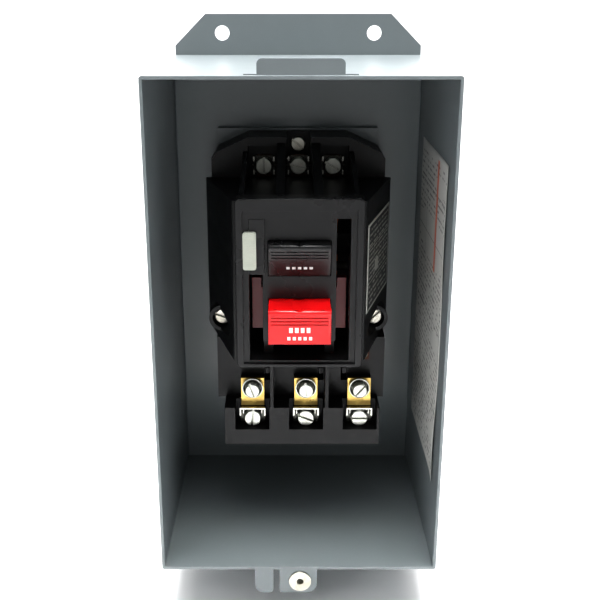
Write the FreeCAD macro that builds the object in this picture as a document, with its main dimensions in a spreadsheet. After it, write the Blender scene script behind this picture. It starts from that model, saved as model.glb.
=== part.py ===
"""A push-button motor starter in an open wall box, as a parametric document.

Frame: X to the right, Y into the wall, Z up, millimetres. The origin is the centre of the box's rear
face, which is also the centre of the four wall holes. "Depth" is the distance in front of the wall, so a
point at depth q has Y = -q.
"""

import FreeCAD, Part

import math
import os
import re

import Sketcher

V = FreeCAD.Vector

DIMENSIONS = {
    # Sheet steel box
    "box_width": 139.7,
    "box_height": 248,
    "box_depth": 114,
    "steel": 1.5,
    "bend_radius": 2.6,
    "flange_reach": 21.7,
    "flange_half": 67,
    "flange_chamfer": 16.7,
    "wall_hole_radius": 4,
    "wall_hole_half_x": 41.3,
    "wall_hole_half_z": 135.6,
    "slot_half": 25.3,
    "slot_back": 105,
    "slot_front": 111,
    "hook_half": 19.5,
    "hook_height": 6.7,
    "tab_end": 138,
    "nut_x": 0.6,
    "nut_z": -130.8,
    "nut_flange_radius": 5.65,
    "nut_thread_radius": 1.75,
    # Mounting plate behind the starter
    "plate_back": 4,
    "plate_front": 6,
    "plate_half": 44.5,
    "plate_top": 84.7,
    "plate_bottom": -66,
    # Base moulding
    "base_front": 30,
    "base_half": 49.6,
    "base_floor": 9,
    "base_top": 83.5,
    "base_bottom": -60.5,
    "pole_pitch": 18.5,
    "line_seat": 22.9,
    "line_z": 68.1,
    "line_head_front": 31,
    "strap_gauge": 1.6,
    # Front housing
    "housing_front": 84,
    "housing_front_half": 33,
    "housing_top": 62,
    "housing_bottom": -21.2,
    "housing_wall": 3,
    "window_half": 24.6,
    "window_top": 57,
    "window_bottom": -18,
    "side_screw_x": 40.5,
    "side_screw_z": -9,
    "side_boss_front": 56,
    # Bezel and button guide
    "bezel_half": 31,
    "bezel_step": 91.3,
    "bezel_front": 93,
    "bezel_top": 65.1,
    "guide_back": 78,
    "guide_front": 88,
    "guide_half": 18,
    # Buttons
    "cap_half": 15,
    "cap_height": 17.3,
    "start_bottom": 25.6,
    "stop_bottom": -4,
    "start_face": 95.5,
    "stop_face": 105,
    "button_gap": 0.35,
    "stem_half": 4,
    # Operating lever
    "pivot_depth": 53,
    "pivot_z": 19.5,
    "pivot_radius": 2.5,
    "lever_arm": 17.5,
    "lever_half_thickness": 2.5,
    "lever_tilt": 17.4,
    "running_gap": 0.06,
    # Contacts
    "carrier_z": 26,
    "contact_high": 44,
    "contact_low": 8,
    "strap_front": 16,
    "tip_height": 1.6,
    # Load side
    "load_centre": 4.2,
    "load_pitch": 29,
    "load_floor": 52,
    "load_front": 68,
    "load_top": -56,
    "load_bottom": -77.6,
    "pocket_bottom": -68.9,
    "pocket_half": 9.2,
    "bus_front": 58,
    "bus_half": 6.35,
    "heater_z": -48.2,
    "upper_heater_z": -27.2,
    "load_z": -64.3,
    "head_front": 64,
    # Overload trip bar
    "trip_depth": 20,
    "trip_z": -40,
    "trip_radius": 2.5,
}

doc = FreeCAD.newDocument("motor_starter")
sheet = doc.addObject("Spreadsheet::Sheet", "dims")
for row, (alias, number) in enumerate(DIMENSIONS.items(), start=1):
    sheet.set(f"A{row}", str(number))
    sheet.setAlias(f"A{row}", alias)
doc.recompute()

PARTS = []


# ---- Building blocks: every size is an expression of the sheet's aliases -------------------------------


def text(expression):
    """The expression as text, in brackets so that it can stand inside another."""
    return f"({expression})"


def linked(expression):
    """The expression with each alias pointing at its cell."""
    return re.sub(
        r"[a-z]\w*",
        lambda found: "dims." + found.group() if found.group() in DIMENSIONS else found.group(),
        str(expression),
    )


def value(expression):
    """The expression's number, for picking edges and for first guesses in sketches."""
    return float(sheet.evalExpression(str(expression)))


def minus(expression):
    return f"-{text(expression)}"


def span(low, high):
    return f"{text(high)} - {text(low)}"


def bind(thing, **sizes):
    for name, expression in sizes.items():
        thing.setExpression(name.replace("__", "."), linked(expression))


def place(thing, x=0, depth=0, z=0):
    """Puts a piece's own origin at X, depth and Z."""
    bind(thing, Placement__Base__x=x, Placement__Base__y=minus(depth), Placement__Base__z=z)


def block(name, x, depth, z):
    """A box between two values of X, of depth and of Z."""
    made = doc.addObject("Part::Box", name)
    bind(made, Length=span(*x), Width=span(*depth), Height=span(*z))
    place(made, x[0], depth[1], z[0])
    return made


ROD_TURNS = {
    "front": FreeCAD.Rotation(V(1, 0, 0), 90),
    "right": FreeCAD.Rotation(V(0, 1, 0), 90),
    "up": FreeCAD.Rotation(),
}


def rod(name, x, depth, z, radius, length, towards="front", end_radius=None):
    """A cylinder, or a cone where end_radius is given, from a point towards the front, the right or up."""
    made = doc.addObject("Part::Cone" if end_radius else "Part::Cylinder", name)
    if end_radius:
        bind(made, Radius1=radius, Radius2=end_radius, Height=length)
    else:
        bind(made, Radius=radius, Height=length)
    made.Placement = FreeCAD.Placement(V(), ROD_TURNS[towards])
    place(made, x, depth, z)
    return made


PLANES = {"front": "XZ_Plane", "top": "XY_Plane", "side": "YZ_Plane"}


def outline(body, name, plane, points):
    """A closed sketch through points, each held by two dimensions from the origin."""
    sketch = body.newObject("Sketcher::SketchObject", name)
    support = next(f for f in body.Origin.OriginFeatures if f.Role == PLANES[plane])
    sketch.AttachmentSupport = [(support, "")]
    sketch.MapMode = "FlatFace"
    spots = [(value(a), value(b)) for a, b in points]
    for here, there in zip(spots, spots[1:] + spots[:1]):
        sketch.addGeometry(Part.LineSegment(V(*here, 0), V(*there, 0)))
    for number, (across, up) in enumerate(points):
        sketch.addConstraint(Sketcher.Constraint("Coincident", number, 2, (number + 1) % len(points), 1))
        for kind, expression in (("DistanceX", across), ("DistanceY", up)):
            index = sketch.addConstraint(Sketcher.Constraint(kind, -1, 1, number, 1, value(expression)))
            sketch.setExpression(f"Constraints[{index}]", linked(expression))
    return sketch


def prism(name, plane, points, length, x=0, depth=0, z=0):
    """A PartDesign body: an outline padded towards the front, up, or to the right.

    The outline's points are (X, Z) on the front plane, (X, -depth) on the top plane and (-depth, Z) on the
    side plane."""
    body = doc.addObject("PartDesign::Body", name)
    pad = body.newObject("PartDesign::Pad", name + "_pad")
    pad.Profile = outline(body, name + "_outline", plane, points)
    bind(pad, Length=length)
    place(body, x, depth, z)
    body.Tip = pad
    return body


def rounded(body, radius, wanted):
    """Fillets the edges of a body's last feature that wanted() picks by middle point and direction."""
    doc.recompute()
    base = body.Tip
    edges = []
    for number, edge in enumerate(base.Shape.Edges, start=1):
        ends = [v.Point for v in edge.Vertexes]
        if len(ends) == 2 and wanted((ends[0] + ends[1]) / 2, (ends[1] - ends[0]).normalize()):
            edges.append(f"Edge{number}")
    if not edges:
        raise ValueError(f"{body.Name}: no edge to round")
    fillet = body.newObject("PartDesign::Fillet", body.Name + "_fillet")
    fillet.Base = (base, edges)
    bind(fillet, Radius=radius)
    body.Tip = fillet
    return body


def fuse(name, *pieces):
    made = doc.addObject("Part::MultiFuse", name)
    made.Shapes = list(pieces)
    return made


def cut(name, base, *tools):
    made = doc.addObject("Part::Cut", name)
    made.Base = base
    made.Tool = tools[0] if len(tools) == 1 else fuse(name + "_tools", *tools)
    return made


def softened(name, base, radius, wanted):
    """Part::Fillet on the edges that wanted() picks by middle point and direction."""
    doc.recompute()
    edges = []
    for number, edge in enumerate(base.Shape.Edges, start=1):
        ends = [v.Point for v in edge.Vertexes]
        if len(ends) == 2 and wanted((ends[0] + ends[1]) / 2, (ends[1] - ends[0]).normalize()):
            edges.append((number, value(radius), value(radius)))
    if not edges:
        raise ValueError(f"{name}: no edge to round")
    made = doc.addObject("Part::Fillet", name)
    made.Base = base
    made.Edges = edges
    return made


def part(label, thing):
    """Marks a finished sub-part, whose label is its node's name."""
    thing.Label = label
    PARTS.append(thing)
    return thing


def group(label, pieces):
    """Identical pieces as one sub-part of separate solids."""
    made = doc.addObject("Part::Compound", label)
    made.Links = pieces
    return part(label, made)


def spring(name, x, depth, z, radius, wire, length, turns, towards="front"):
    """A coil spring from a point towards the front or the right."""
    helix = doc.addObject("Part::Helix", name + "_line")
    bind(helix, Radius=radius, Height=length, Pitch=f"{text(length)} / {turns}")
    section = doc.addObject("Part::Circle", name + "_wire")
    bind(section, Radius=wire)
    section.Placement = FreeCAD.Placement(V(value(radius), 0, 0), ROD_TURNS["front"])
    coil = doc.addObject("Part::Sweep", name + "_coil")
    coil.Sections = [section]
    coil.Spine = (helix, ["Edge1"])
    coil.Solid = True
    coil.Frenet = True
    placed = doc.addObject("Part::Compound", name)
    placed.Links = [coil]
    placed.Placement = FreeCAD.Placement(V(), ROD_TURNS[towards])
    place(placed, x, depth, z)
    return placed


def vertical(direction):
    return abs(direction.z) > 0.99


def lengthwise(direction):
    return abs(direction.y) > 0.99


def crosswise(direction):
    return abs(direction.x) > 0.99


POLES = ["-pole_pitch", "0", "pole_pitch"]
LOADS = ["load_centre - load_pitch", "load_centre", "load_centre + load_pitch"]
LETTERS = ["a", "b", "c"]


# ---- Sheet steel box ---------------------------------------------------------------------------------


def enclosure():
    """Back and sides folded from one sheet, between a top and a bottom that carry the wall flanges."""
    inner = "box_width / 2 - steel"
    wrap = prism(
        "wrap",
        "top",
        [
            ("-box_width / 2", "0"),
            ("box_width / 2", "0"),
            ("box_width / 2", "-box_depth"),
            (inner, "-box_depth"),
            (inner, "-steel"),
            (minus(inner), "-steel"),
            (minus(inner), "-box_depth"),
            ("-box_width / 2", "-box_depth"),
        ],
        "box_height - 2 * steel",
        z="-box_height / 2 + steel",
    )
    back = value("steel") + 0.01
    rounded(wrap, "bend_radius", lambda m, d: vertical(d) and abs(m.y) < 0.01)
    rounded(
        wrap,
        "bend_radius - steel",
        lambda m, d: vertical(d) and abs(abs(m.x) - value(inner)) < 0.01 and abs(m.y) < back,
    )
    part("enclosure_back_and_sides", wrap)
    part("enclosure_top", top_end())
    part("enclosure_bottom", bottom_end())


def flange(name, side):
    """A wall flange with two chamfered corners; side is 1 at the top and -1 at the bottom."""
    edge = f"{side} * box_height / 2"
    tip = f"{side} * (box_height / 2 + flange_reach)"
    shoulder = f"{side} * (box_height / 2 + flange_reach - flange_chamfer)"
    root = f"{edge} - {side} * steel"
    half = "flange_half"
    narrow = "flange_half - flange_chamfer"
    plate = prism(
        name + "_plate",
        "front",
        [
            (minus(half), root),
            (half, root),
            (half, shoulder),
            (narrow, tip),
            (minus(narrow), tip),
            (minus(half), shoulder),
        ],
        "steel",
    )
    holes = [
        rod(f"{name}_hole_{i}", x, "-1", f"{side} * wall_hole_half_z", "wall_hole_radius", "steel + 2")
        for i, x in enumerate(["-wall_hole_half_x", "wall_hole_half_x"])
    ]
    return cut(name, plate, *holes)


def end_wall(name, side):
    """The flat end wall, its two outer side edges rounded off."""
    inner, outer = "box_height / 2 - steel", "box_height / 2"
    z = (inner, outer) if side > 0 else (minus(outer), minus(inner))
    wall = block(name + "_flat", ("-box_width / 2", "box_width / 2"), ("0", "box_depth"), z)
    edge = side * value(outer)
    return softened(name, wall, "steel - 0.2", lambda m, d: lengthwise(d) and abs(m.z - edge) < 0.01)


def top_end():
    hook = prism(
        "cover_hook",
        "front",
        [
            ("-hook_half", "box_height / 2 - steel"),
            ("hook_half", "box_height / 2 - steel"),
            ("hook_half", "box_height / 2 + hook_height"),
            ("-hook_half", "box_height / 2 + hook_height"),
        ],
        "steel",
        depth="slot_back - steel",
    )
    tip = value("box_height / 2 + hook_height")
    rounded(hook, "2.5", lambda m, d: lengthwise(d) and abs(m.z - tip) < 0.01)
    slot = block(
        "cover_slot",
        ("-slot_half", "slot_half"),
        ("slot_back", "slot_front"),
        ("box_height / 2 - steel - 1", "box_height / 2 + 1"),
    )
    wall = cut("top_wall", end_wall("top_sheet", 1), slot)
    return fuse("top_end", wall, flange("top_flange", 1), hook)


def lock_tab(name, left, right, left_radius, right_radius):
    """A tab turned down from the bottom wall's front edge."""
    tab = prism(
        name,
        "front",
        [
            (left, "-tab_end"),
            (right, "-tab_end"),
            (right, "-box_height / 2 + steel"),
            (left, "-box_height / 2 + steel"),
        ],
        "steel",
        depth="box_depth - steel",
    )
    end = -value("tab_end")
    for x, radius in ((left, left_radius), (right, right_radius)):
        at = value(x)
        rounded(
            tab,
            radius,
            lambda m, d: lengthwise(d) and abs(m.z - end) < 0.01 and abs(m.x - at) < 0.01,
        )
    return tab


def bottom_end():
    hole = rod("nut_hole", "nut_x", "box_depth - steel - 1", "nut_z", "nut_thread_radius + 1.4", "steel + 2")
    return cut(
        "bottom_end",
        fuse(
            "bottom_blank",
            end_wall("bottom_sheet", -1),
            flange("bottom_flange", -1),
            lock_tab("guide_tab", "-22.5", "-13.1", "4.6", "2"),
            lock_tab("screw_tab", "-9.9", "9.2", "1.6", "5"),
        ),
        hole,
    )


def clinch_nut():
    """The threaded insert for the cover's screw, its flange on the tab's front."""
    flat = rod("nut_flange", "nut_x", "box_depth", "nut_z", "nut_flange_radius", "0.9")
    barrel = rod("nut_barrel", "nut_x", "box_depth - 4.5", "nut_z", "nut_thread_radius + 1.35", "4.6")
    thread = rod("nut_thread", "nut_x", "box_depth - 6", "nut_z", "nut_thread_radius", "8")
    part("cover_clinch_nut", cut("nut", fuse("nut_blank", flat, barrel), thread))


def wall_label():
    wall = "box_width / 2 - steel"
    sheet_of_paper = block("paper", (f"{wall} - 0.35", f"{wall} - 0.05"), ("18", "100"), ("-81", "82"))
    part("wiring_label", sheet_of_paper)


def mounting_plate():
    """A steel plate on four raised feet, with a hook that the base's lower edge drops into."""
    flat = block(
        "plate_flat",
        ("-plate_half", "plate_half"),
        ("plate_back", "plate_front"),
        ("plate_bottom", "plate_top"),
    )
    feet = [
        rod(f"plate_foot_{x}_{z}".replace("-", "n"), x, "steel", z, "6", "plate_back - steel + 0.5")
        for x in ("-30", "30")
        for z in ("-50", "70")
    ]
    foot = "base_bottom"
    lip = block("plate_lip", ("-12", "12"), ("plate_front - 0.5", "11.6"), (f"{foot} - 2.2", f"{foot} - 0.3"))
    keeper = block("plate_keeper", ("-12", "12"), ("10.1", "11.6"), (f"{foot} - 1", f"{foot} + 4"))
    hole = rod("plate_thread", "0", "plate_back - 1", "76.7", "2.05", "4")
    part("mounting_plate", cut("plate", fuse("plate_blank", flat, *feet, lip, keeper), hole))


# ---- Base with the line terminals --------------------------------------------------------------------


def base():
    blank = prism(
        "base_blank",
        "front",
        [
            ("-27", "base_top"),
            ("-44", "base_top - 8"),
            ("-46.5", "base_top - 11.5"),
            ("-46.5", "50"),
            ("-base_half", "45.5"),
            ("-base_half", "-14"),
            ("-45.7", "-20"),
            ("-45.7", "-55"),
            ("-41", "base_bottom"),
            ("44", "base_bottom"),
            ("48.5", "-56"),
            ("48.5", "-20"),
            ("base_half", "-14"),
            ("base_half", "45.5"),
            ("46.5", "50"),
            ("46.5", "base_top - 11.5"),
            ("44", "base_top - 8"),
            ("27", "base_top"),
        ],
        "base_front - plate_front",
        depth="plate_front",
    )
    front = "base_front + 1"
    tools = [
        block("contact_cavity", ("-36", "36"), ("base_floor", front), ("-14", "57.5")),
        block("load_cavity", ("-36", "41"), ("base_floor", front), ("-50", "-13")),
        block("line_recess", ("-27", "27"), ("line_seat", front), ("60", "79")),
        block("screw_notch", ("-6.5", "6.5"), ("9.5", front), ("70.8", "base_top + 1")),
        block("keeper_notch", ("-12.5", "12.5"), ("plate_front - 1", "12.2"), ("base_bottom - 1", "base_bottom + 4.6")),
        rod("base_screw_hole", "0", "plate_front - 1", "76.7", "2.3", "5"),
    ]
    for letter, x in zip(LETTERS, POLES):
        tools.append(
            block(
                f"strap_slot_{letter}",
                (f"{x} - 4.3", f"{x} + 4.3"),
                ("strap_front - strap_gauge - 0.2", "line_seat + 0.5"),
                ("57", "62.2"),
            )
        )
        tools.append(
            rod(f"line_thread_{letter}", x, "line_seat - 8", "line_z", "2.05", "9")
        )
    for side, x in (("left", "-side_screw_x"), ("right", "side_screw_x")):
        tools.append(rod(f"side_thread_{side}", x, "plate_front + 4", "side_screw_z", "2.05", "30"))
    part("base", cut("base_moulding", blank, *tools))


def slotted_head(name, x, depth, z, radius, height, turn, width="1.2"):
    """A domed head with a screwdriver slot turned to an angle in degrees."""
    head = rod(name + "_disc", x, depth, z, radius, f"{height} - 0.5")
    dome = rod(
        name + "_dome", x, f"{depth} + {height} - 0.5", z, radius, "0.5", end_radius=f"{radius} - 0.55"
    )
    groove = doc.addObject("Part::Box", name + "_groove")
    bind(groove, Length="14", Width="2", Height=width)
    groove.Placement = FreeCAD.Placement(V(-7, -2, -value(width) / 2), FreeCAD.Rotation())
    turned = doc.addObject("Part::Compound", name + "_turned")
    turned.Links = [groove]
    turned.Placement = FreeCAD.Placement(V(), FreeCAD.Rotation(V(0, 1, 0), turn))
    place(turned, x, f"{depth} + {height} - 1.6", z)
    return cut(name + "_head", fuse(name + "_blank", head, dome), turned)


def screw(name, x, seat, z, head_radius, head_height, shank_radius, shank_length, turn):
    """A slotted screw whose head sits on depth seat, its shank towards the wall."""
    shank = rod(name + "_shank", x, f"{seat} - {shank_length}", z, shank_radius, f"{shank_length} + 0.5")
    return fuse(name, slotted_head(name, x, seat, z, head_radius, head_height, turn), shank)


def line_terminals():
    """Three supply terminals: a copper strap, a pronged pressure plate and a screw each."""
    straps, plates, screws = [], [], []
    turns = {"a": 90, "b": 14, "c": 28}
    back = "strap_front - strap_gauge"
    for letter, x in zip(LETTERS, POLES):
        seat_front = "line_seat + strap_gauge"
        bar = prism(
            f"line_strap_bar_{letter}",
            "side",
            [
                ("-line_seat", "73.2"),
                (minus(seat_front), "73.2"),
                (minus(seat_front), "60.2"),
                ("-strap_front", "60.2"),
                ("-strap_front", "contact_high - 5"),
                (minus(back), "contact_high - 5"),
                (minus(back), "61.8"),
                ("-line_seat", "61.8"),
            ],
            "8",
            x=f"{x} - 4",
        )
        hole = rod(f"line_strap_hole_{letter}", x, "line_seat - 1", "line_z", "2.2", "4")
        straps.append(cut(f"line_strap_{letter}", bar, hole))
        plates.append(pressure_plate(f"line_plate_{letter}", x, seat_front, "line_z"))
        seat = f"{seat_front} + 1.1"
        height = f"line_head_front - ({seat})"
        screws.append(
            screw(f"line_screw_{letter}", x, seat, "line_z", "4.55", height, "2", "9", turns[letter])
        )
    group("line_straps", straps)
    group("line_pressure_plates", plates)
    group("line_terminal_screws", screws)


def pressure_plate(name, x, depth, z):
    """A square plate with a prong at each corner and a nib on each side, to hold a wire."""
    flat = block(name + "_flat", (f"{x} - 5.8", f"{x} + 5.8"), (depth, f"{depth} + 1.1"), (f"{z} - 4.9", f"{z} + 4.9"))
    prongs = []
    for side in ("-", "+"):
        outer, inner = f"{x} {side} 5.8", f"{x} {side} 4.9"
        low, high = (outer, inner) if side == "-" else (inner, outer)
        for end, (bottom, top) in enumerate((("-4.9", "-2.4"), ("2.4", "4.9"))):
            prongs.append(
                block(
                    f"{name}_prong_{'l' if side == '-' else 'r'}{end}",
                    (low, high),
                    (depth, f"{depth} + 4.6"),
                    (f"{z} + {bottom}", f"{z} + {top}"),
                )
            )
        nib_low, nib_high = (f"{x} - 6.9", f"{x} - 5") if side == "-" else (f"{x} + 5", f"{x} + 6.9")
        prongs.append(
            block(
                f"{name}_nib_{'l' if side == '-' else 'r'}",
                (nib_low, nib_high),
                (depth, f"{depth} + 2.2"),
                (f"{z} - 0.6", f"{z} + 0.6"),
            )
        )
    hole = rod(name + "_hole", x, f"{depth} - 1", z, "2.2", "4")
    return cut(name, fuse(name + "_blank", flat, *prongs), hole)


def base_screw():
    part("base_screw", screw("base_screw_solid", "0", "9.5", "76.7", "4.1", "2.6", "2", "6", 40))


# ---- Front housing, bezel and button guide -----------------------------------------------------------


def rib(name, x, half, high, low):
    """A wall beside a supply terminal, sloping down to the bezel."""
    return prism(
        name,
        "side",
        [
            (minus("base_front + 0.6"), "housing_top - 2"),
            (minus("housing_front"), "housing_top - 2"),
            (minus("housing_front"), low),
            (minus("base_front + 0.6"), high),
        ],
        f"2 * {half}",
        x=f"{x} - {half}",
    )


def housing():
    """The arc chamber: a hollow wedge, narrower towards the front, with a rib beside each terminal."""
    length = "housing_top - housing_bottom"
    shell = prism(
        "housing_shell",
        "top",
        [
            ("-base_half", "-base_front"),
            ("base_half", "-base_front"),
            ("housing_front_half", "-housing_front"),
            ("-housing_front_half", "-housing_front"),
        ],
        length,
        z="housing_bottom",
    )
    rounded(shell, "1.2", lambda m, d: vertical(d) and abs(m.y + value("housing_front")) < 0.01)
    wall = "housing_wall"
    hollow = prism(
        "housing_hollow",
        "top",
        [
            (f"-base_half + {wall} + 4", "-base_front + 1"),
            (f"base_half - {wall} - 4", "-base_front + 1"),
            (f"housing_front_half - {wall}", f"-housing_front + {wall}"),
            (f"-housing_front_half + {wall}", f"-housing_front + {wall}"),
        ],
        f"{length} - 2 * {wall}",
        z=f"housing_bottom + {wall}",
    )
    window = block(
        "housing_window",
        ("-window_half", "window_half"),
        ("housing_front - 4", "housing_front + 1"),
        ("window_bottom", "window_top"),
    )
    ribs = [
        rib("rib_left", "-pole_pitch / 2", "2.2", "80.5", "64.4"),
        rib("rib_right", "pole_pitch / 2", "2.2", "80.5", "64.4"),
        rib("cheek_left", "-28.3", "1.2", "76", "63"),
        rib("cheek_right", "28.3", "1.2", "76", "63"),
    ]
    bosses, bores = [], []
    for side, x in (("left", "-side_screw_x"), ("right", "side_screw_x")):
        bosses.append(
            rod(f"side_boss_{side}", x, "base_front", "side_screw_z", "7.2", "side_boss_front - base_front")
        )
        bores.append(rod(f"side_bore_{side}", x, "side_boss_front - 6", "side_screw_z", "5.3", "40"))
        bores.append(rod(f"side_clear_{side}", x, "base_front - 1", "side_screw_z", "2.3", "30"))
    pins = [
        block(f"pin_seat_{side}", x, ("pivot_depth - 5", "pivot_depth + 5"), ("pivot_z - 5", "pivot_z + 5"))
        for side, x in (("left", ("-39.5", "-26")), ("right", ("26", "39.5")))
    ]
    pin_bore = rod(
        "pin_bore", "-32.5", "pivot_depth", "pivot_z", "pivot_radius + running_gap", "65", "right"
    )
    body = cut("housing_core", shell, hollow)
    keep = fuse("housing_solid", body, *ribs, *bosses, *pins)
    part("housing", cut("housing_moulding", keep, window, pin_bore, *bores))


def housing_screws():
    screws = [
        screw(f"side_screw_{side}", x, "side_boss_front - 6", "side_screw_z", "4.3", "3.4", "2", "30", turn)
        for side, x, turn in (("left", "-side_screw_x", 200), ("right", "side_screw_x", 135))
    ]
    group("housing_screws", screws)


def rating_label():
    """A foil plate stuck on the housing's right flank."""
    slope = math.degrees(
        math.atan2(
            value("base_half - housing_front_half"),
            value("housing_front - base_front"),
        )
    )
    plate = doc.addObject("Part::Box", "rating_plate")
    bind(plate, Length="0.3", Width="52", Height="46")
    plate.Placement = FreeCAD.Placement(V(), FreeCAD.Rotation(V(0, 0, 1), -slope))
    run = "1.5"
    place(
        plate,
        f"housing_front_half + 0.05 + {run} * {math.sin(math.radians(slope)):.5f}",
        f"housing_front - {run} * {math.cos(math.radians(slope)):.5f}",
        "3.3",
    )
    part("rating_label", plate)


def bezel():
    """The frame round the buttons, with a rim round a lower inner step."""
    outer = prism(
        "bezel_outer",
        "front",
        [
            ("-bezel_half", "housing_bottom"),
            ("bezel_half", "housing_bottom"),
            ("bezel_half", "bezel_top"),
            ("-bezel_half", "bezel_top"),
        ],
        "bezel_front - housing_front",
        depth="housing_front",
    )
    rounded(outer, "2.4", lambda m, d: lengthwise(d))
    rim = value("bezel_front - housing_front")
    rounded(outer, "0.6", lambda m, d: abs(m.y + rim) < 0.01)
    step = block(
        "bezel_inner_step",
        ("-27.6", "27.6"),
        ("bezel_step", "bezel_front + 1"),
        ("housing_bottom + 1.7", "59"),
    )
    window = block(
        "bezel_window",
        ("-window_half", "window_half"),
        ("housing_front - 1", "bezel_front + 1"),
        ("window_bottom", "window_top - 2"),
    )
    part("bezel", cut("bezel_frame", outer, step, window))


def button_guide():
    """The column that guides both caps, with a shelf at the upper left."""
    column = block(
        "guide_column",
        ("-guide_half", "guide_half"),
        ("guide_back", "guide_front"),
        ("-9", "window_top - 2.1"),
    )
    shelf = block(
        "guide_shelf",
        ("-window_half + 0.1", "-guide_half + 1"),
        ("guide_front - 6", "bezel_step"),
        ("27", "window_top - 2.1"),
    )
    head = block(
        "guide_head",
        ("-guide_half - 4", "guide_half + 4"),
        ("guide_back", "housing_front - housing_wall"),
        ("window_top - 4", "housing_top - housing_wall"),
    )
    legs = [
        block(
            f"guide_leg_{side}",
            x,
            ("guide_back", "housing_front - housing_wall"),
            ("housing_bottom + housing_wall", "-8"),
        )
        for side, x in (("left", ("-guide_half", "-13")), ("right", ("13", "guide_half")))
    ]
    holes = [
        block(
            f"guide_hole_{name}",
            ("-cap_half - button_gap", "cap_half + button_gap"),
            ("guide_back - 1", "guide_front + 1"),
            (f"{low} - button_gap", f"{low} + cap_height + button_gap"),
        )
        for name, low in (("start", "start_bottom"), ("stop", "stop_bottom"))
    ]
    part("button_guide", cut("guide", fuse("guide_blank", column, shelf, head, *legs), *holes))


def cover_pad():
    pad = block("pad_block", ("-27.3", "-20.9"), ("bezel_step", "bezel_step + 2.6"), ("30.1", "48.7"))
    rounded_pad = softened("pad_soft", pad, "1.2", lambda m, d: lengthwise(d))
    part("cover_pad", rounded_pad)


# ---- Buttons, lever and contacts -----------------------------------------------------------------------


def cap(name, bottom, face, low_face, back):
    """A cap whose face may lean back, with three finger grooves under a shallow notch."""
    top = f"{bottom} + cap_height"
    blank = prism(
        name + "_cap",
        "side",
        [
            (minus(back), bottom),
            (minus(low_face), bottom),
            (minus(face), top),
            (minus(back), top),
        ],
        "2 * cap_half",
        x="-cap_half",
    )
    crown, front = value(top), value(face)
    rounded(
        blank,
        "1.6",
        lambda m, d: crosswise(d) and abs(m.y + front) < 0.01 and abs(m.z - crown) < 0.01,
    )
    notch = prism(
        name + "_notch",
        "front",
        [
            ("-3.5", top),
            ("0", f"{top} - 0.8"),
            ("3.5", top),
            ("3.5", f"{top} + 1"),
            ("-3.5", f"{top} + 1"),
        ],
        span(back, f"{face} + 1"),
        depth=back,
    )
    grooves = []
    for i in range(3):
        drop = 3.4 + 1.7 * i
        here = f"{face} - {drop + 0.3:.2f} * {text(span(low_face, face))} / cap_height"
        grooves.append(
            block(
                f"{name}_groove_{i}",
                ("-cap_half + 1.3", "cap_half - 1.3"),
                (f"{here} - 0.7", f"{here} + 2"),
                (f"{top} - {drop + 0.6:.1f}", f"{top} - {drop:.1f}"),
            )
        )
    return cut(name + "_grooved", blank, notch, *grooves)


def buttons():
    """The black START cap, held in, and the red STOP cap, standing out, each with its stem."""
    flange_back = "start_face - 29.5"
    start = fuse(
        "start_solid",
        cap("start", "start_bottom", "start_face", "guide_front + 0.4", f"{flange_back} + 3"),
        block("start_flange", ("-16.5", "16.5"), (flange_back, f"{flange_back} + 3.2"), ("25.9", "42.4")),
        block("start_stem", ("-stem_half", "stem_half"), ("53.3", f"{flange_back} + 0.5"), ("31.2", "37.2")),
    )
    part("start_button", start)
    yoke_front = "guide_back - 0.5"
    yoke = block("stop_yoke", ("-23.6", "23.6"), (f"{yoke_front} - 4", yoke_front), ("-6", "16"))
    arms = [
        block(f"stop_arm_{side}", x, (f"{yoke_front} - 4", yoke_front), ("10", "21"))
        for side, x in (("left", ("-23.6", "-19")), ("right", ("19", "23.6")))
    ]
    stop = fuse(
        "stop_solid",
        cap("stop", "stop_bottom", "stop_face", "stop_face - 0.6", f"{yoke_front} - 1"),
        yoke,
        *arms,
        block("stop_stem", ("-stem_half", "stem_half"), ("61.3", f"{yoke_front} - 3"), ("1.6", "7.6")),
    )
    part("stop_button", stop)


def lever():
    """The rocker that swaps the two buttons, drawn upright and then tipped about its pin."""
    half = "lever_half_thickness"
    bar = block(
        "lever_bar",
        ("-6", "6"),
        (f"-{half}", half),
        ("-lever_arm", "lever_arm"),
    )
    soft = softened("lever_soft", bar, "1.4", lambda m, d: crosswise(d))
    hub = rod("lever_hub", "-14", "0", "0", "5.2", "28", "right")
    bore = rod("lever_bore", "-15", "0", "0", "pivot_radius + running_gap", "30", "right")
    blank = cut("lever_blank", fuse("lever_body", soft, hub), bore)
    tipped = doc.addObject("Part::Compound", "lever_tipped")
    tipped.Links = [blank]
    tipped.Placement = FreeCAD.Placement(V(), FreeCAD.Rotation(V(1, 0, 0), -value("lever_tilt")))
    place(tipped, 0, "pivot_depth", "pivot_z")
    part("operating_lever", tipped)
    part(
        "lever_pin",
        rod("pin", "-32", "pivot_depth", "pivot_z", "pivot_radius", "64", "right"),
    )


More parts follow.
